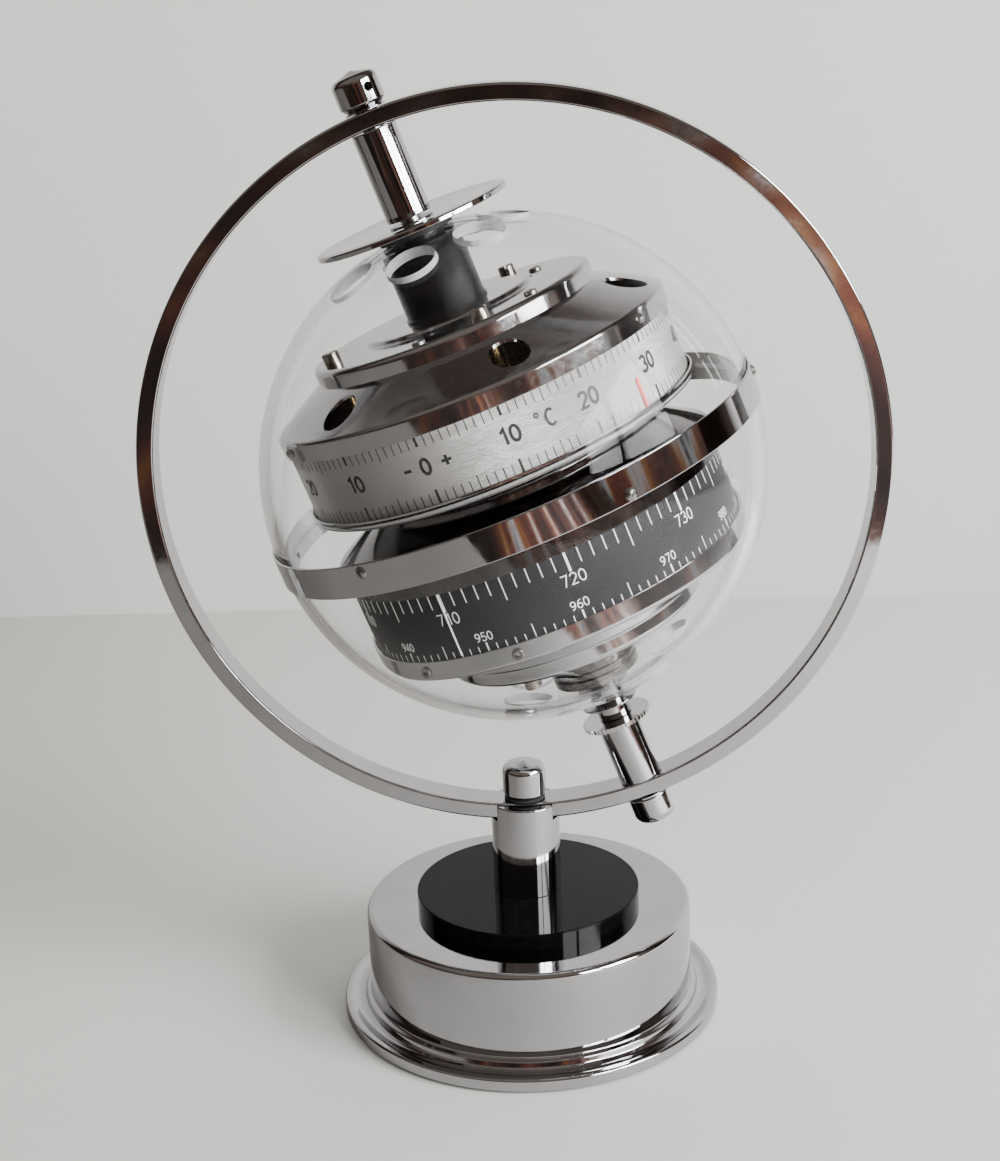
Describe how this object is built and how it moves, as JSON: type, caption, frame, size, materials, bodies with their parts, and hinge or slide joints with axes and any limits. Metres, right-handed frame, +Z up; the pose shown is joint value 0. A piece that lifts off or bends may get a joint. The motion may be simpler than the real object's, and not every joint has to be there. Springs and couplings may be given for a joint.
{
  "type": "desk weather globe",
  "caption": "Clear globe with a thermometer drum and a barometer drum, spinning on a tilted axle in an upright chrome ring on a round base.",
  "frame": {"origin": "middle of the base's resting face", "axes": "+Z up, ring in the XZ plane, -Y towards the viewer of the scales, axle's top leaning towards -X"},
  "size_m": [0.22, 0.1494, 0.2888],
  "materials": {
    "bright_chrome": "mirror-polished plating",
    "clear_acrylic": "clear moulded plastic, polished",
    "frosted_black": "high-gloss black",
    "matt_black": "satin black",
    "silver_dial": "brushed silver dial with printed scale",
    "black_dial": "matt black dial with printed scale",
    "red_paint": "red lacquer",
    "white_paint": "white lacquer",
    "iron": "rough casting",
    "steel": "plain turned steel",
    "brass": "machined brass",
    "bimetal": "rolled bimetal strip",
    "capsule_metal": "nickel-silver diaphragm",
    "felt": "black felt",
    "rubber_black": "black rubber"
  },
  "bodies": {
    "stand": {"base_shell": "bright_chrome", "base_ballast": "iron", "base_pad": "felt", "base_disc": "frosted_black", "stand_rod": "steel", "rod_nut": "steel", "ring_column": "bright_chrome", "ring_washer": "rubber_black", "ring_dome_nut": "bright_chrome", "meridian_ring": "bright_chrome", "upper_sleeve": "bright_chrome", "lower_sleeve": "bright_chrome", "knob_washers": "bright_chrome", "upper_axle": "steel", "lower_axle": "steel", "upper_knob": "bright_chrome", "lower_knob": "bright_chrome", "axle_collar": "bright_chrome"},
    "globe": {"upper_hemisphere": "clear_acrylic", "lower_hemisphere": "clear_acrylic", "equator_band": "bright_chrome", "band_screws": "brass", "pole_disc": "bright_chrome", "pole_washer": "rubber_black", "upper_neck": "matt_black", "lower_bush": "matt_black", "lower_neck": "bright_chrome", "thermometer_cover": "bright_chrome", "thermometer_drum": "silver_dial", "thermometer_floor": "bright_chrome", "thermometer_plate": "brass", "thermometer_pillars": "brass", "unit_screws": "bright_chrome", "floor_posts": "brass", "cover_rivets": "bright_chrome", "rim_screws": "bright_chrome", "bimetal_coil": "bimetal", "bimetal_stud": "brass", "barometer_cover": "bright_chrome", "barometer_tray": "bright_chrome", "barometer_drum": "black_dial", "tray_rivets": "bright_chrome", "movement_plate": "brass", "movement_pillars": "brass", "movement_bridge": "brass", "centre_post": "steel", "post_nut": "brass", "hairspring": "steel", "capsule_cup": "capsule_metal"},
    "thermometer_needle": {"thermometer_arbor": "steel", "thermometer_pointer": "red_paint"},
    "sector": {"sector_gear": "brass", "sector_shaft": "steel"},
    "barometer_needle": {"arbor_sleeve": "steel", "pinion": "brass", "barometer_pointer": "white_paint"},
    "rocker": {"rocking_lever": "steel"},
    "link": {"link_wire": "steel"},
    "diaphragm": {"capsule_diaphragm": "capsule_metal"}
  },
  "joints": [
    {"name": "globe_spin", "type": "hinge", "parent": "stand", "child": "globe", "pos_m": [0, 0, 0.173], "axis": [-0.342, 0, 0.9397], "continuous": true},
    {"name": "thermometer_turn", "type": "hinge", "parent": "globe", "child": "thermometer_needle", "pos_m": [0, 0, 0.173], "axis": [-0.342, 0, 0.9397], "range_deg": [-134.5, 54], "stiffness_Nm_per_rad": 0.01},
    {"name": "sector_swing", "type": "hinge", "parent": "globe", "child": "sector", "pos_m": [0.00924, 0.0385, 0.14763], "axis": [-0.342, 0, 0.9397], "range_deg": [-33, 0.5], "stiffness_Nm_per_rad": 0.5},
    {"name": "barometer_turn", "type": "hinge", "parent": "globe", "child": "barometer_needle", "pos_m": [0, 0, 0.173], "axis": [-0.342, 0, 0.9397], "range_deg": [-6, 332]},
    {"name": "rocker_tilt", "type": "hinge", "parent": "globe", "child": "rocker", "pos_m": [0.01375, 0.008, 0.13522], "axis": [0.9397, 0, 0.342], "range_deg": [-0.5, 12]},
    {"name": "link_pull", "type": "slide", "parent": "globe", "child": "link", "axis": [0, 1, 0], "range_m": [-0.00205, 0.00005]},
    {"name": "diaphragm_flex", "type": "slide", "parent": "globe", "child": "diaphragm", "axis": [-0.342, 0, 0.9397], "range_m": [-0.002, 0.00005]}
  ],
  "couplings": [
    {"joint": "barometer_turn", "follows": "sector_swing", "ratio": -10},
    {"joint": "rocker_tilt", "follows": "sector_swing", "ratio": -0.357},
    {"joint": "link_pull", "follows": "sector_swing", "m_per_rad": 0.0034},
    {"joint": "diaphragm_flex", "follows": "sector_swing", "m_per_rad": 0.0033}
  ]
}
